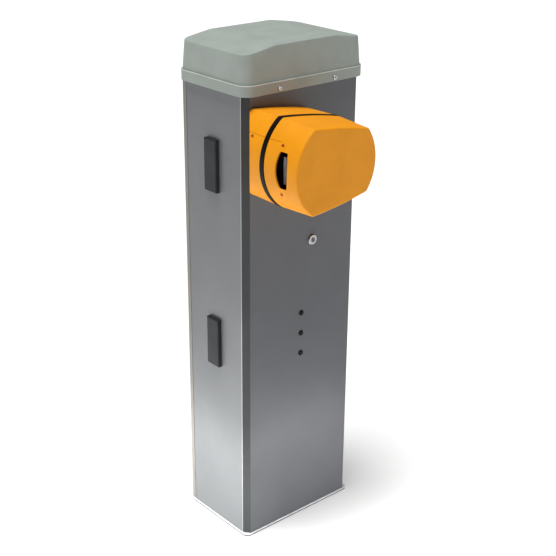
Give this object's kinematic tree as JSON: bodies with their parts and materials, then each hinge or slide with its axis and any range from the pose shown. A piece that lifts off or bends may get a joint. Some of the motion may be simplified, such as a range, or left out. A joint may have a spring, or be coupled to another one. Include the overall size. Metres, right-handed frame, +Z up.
{
  "type": "parking barrier gate",
  "caption": "Slim steel parking barrier cabinet with a grey cap, a turning yellow arm head with a side slot for a boom, lane photocells, a release lock and a rear door.",
  "frame": {"origin": "centre of the four anchor bolt holes at the base plate's underside, on the ground", "axes": "+Z up, -Y towards the front panel and the arm head, +X to the right seen from the front"},
  "size_m": [0.3184, 0.3565, 1.003],
  "materials": {
    "sheet_grey": "fine textured powder coat",
    "corner_dark": "dark powder coat",
    "cap_plastic": "fine moulded grain",
    "black_plastic": "satin black",
    "cover_yellow": "satin moulded",
    "zinc_steel": "zinc plated",
    "machined_steel": "machined",
    "cast_aluminium": "as cast",
    "cast_steel": "oiled",
    "bronze": "machined",
    "motor_paint": "black enamel",
    "rubber": "matt",
    "spring_steel": "oiled spring wire",
    "chrome": "polished",
    "box_plastic": "light grey"
  },
  "bodies": {
    "cabinet": {"base_plate": "sheet_grey", "front_panel": "sheet_grey", "left_side_panel": "sheet_grey", "right_side_panel": "sheet_grey", "lower_frame_hinge": "sheet_grey", "upper_frame_hinge": "sheet_grey", "left_corner_profile": "corner_dark", "right_corner_profile": "corner_dark", "cap": "cap_plastic", "upper_sensor_cover": "black_plastic", "lower_sensor_cover": "black_plastic", "hole_plug_1": "black_plastic", "hole_plug_2": "black_plastic", "hole_plug_3": "black_plastic", "band_ring": "black_plastic", "open_limit_switch": "black_plastic", "closed_limit_switch": "black_plastic", "upper_collar_shell": "cover_yellow", "lower_collar_shell": "cover_yellow", "top_frame": "zinc_steel", "left_cap_screw": "zinc_steel", "right_cap_screw": "zinc_steel", "collar_screw": "zinc_steel", "anchor_bracket": "zinc_steel", "mounting_plate": "zinc_steel", "gearcase_front": "cast_aluminium", "gearcase_rear": "cast_aluminium", "shaft_bush": "bronze", "motor": "motor_paint", "closed_stop_bumper": "rubber", "open_stop_bumper": "rubber", "release_lock_barrel": "chrome", "control_box": "box_plastic", "control_lid": "box_plastic"},
    "arm": {"head_cover": "cover_yellow", "upper_head_screw": "zinc_steel", "lower_head_screw": "zinc_steel", "hub_flange": "cast_aluminium", "boom_holder": "zinc_steel", "clamp_plate": "zinc_steel", "upper_clamp_bolt": "zinc_steel", "lower_clamp_bolt": "zinc_steel", "output_shaft": "machined_steel", "output_gear": "machined_steel", "crank_lever": "cast_steel", "lever_pin": "zinc_steel", "limit_cam": "machined_steel"},
    "pinion": {"pinion": "machined_steel"},
    "spring_unit": {"balance_spring": "spring_steel", "lower_spring_plug": "zinc_steel", "tie_rod": "zinc_steel"},
    "spring_link": {"link_eye": "zinc_steel"},
    "release_key": {"release_lock_plug": "chrome", "release_cam": "zinc_steel"},
    "door": {"rear_door": "sheet_grey", "door_lock_barrel": "chrome", "lower_door_hinge": "sheet_grey", "upper_door_hinge": "sheet_grey"},
    "door_key": {"door_lock_plug": "chrome", "door_lock_cam": "zinc_steel"}
  },
  "joints": [
    {"name": "arm_turn", "type": "hinge", "parent": "cabinet", "child": "arm", "pos_m": [-0.0694, -0.193, 0.818], "axis": [0, 1, 0], "range_deg": [0, 90]},
    {"name": "pinion_spin", "type": "hinge", "parent": "cabinet", "child": "pinion", "pos_m": [-0.0694, -0.06, 0.874], "axis": [0, 1, 0], "range_deg": [-330, 0]},
    {"name": "spring_swing", "type": "hinge", "parent": "cabinet", "child": "spring_unit", "pos_m": [-0.0374, 0, 0.48], "axis": [0, 1, 0], "range_deg": [-5.97, 0]},
    {"name": "spring_stretch", "type": "slide", "parent": "spring_unit", "child": "spring_link", "axis": [0, 0, 1], "range_m": [-0.03033, 0], "deforming": ["balance_spring"]},
    {"name": "release_key_turn", "type": "hinge", "parent": "cabinet", "child": "release_key", "pos_m": [0.025, -0.09, 0.614], "axis": [0, 1, 0], "range_deg": [0, 90]},
    {"name": "door_swing", "type": "hinge", "parent": "cabinet", "child": "door", "pos_m": [0.145, 0.0805, 0.45], "axis": [0, 0, -1], "range_deg": [0, 110]},
    {"name": "door_key_turn", "type": "hinge", "parent": "door", "child": "door_key", "pos_m": [-0.108, 0.09, 0.486], "axis": [0, -1, 0], "range_deg": [0, 90]}
  ],
  "couplings": [
    {"joint": "pinion_spin", "follows": "arm_turn", "ratio": -3.6667},
    {"joint": "spring_swing", "follows": "arm_turn", "ratio": -0.066333},
    {"joint": "spring_stretch", "follows": "arm_turn", "m_per_rad": -0.019309}
  ]
}
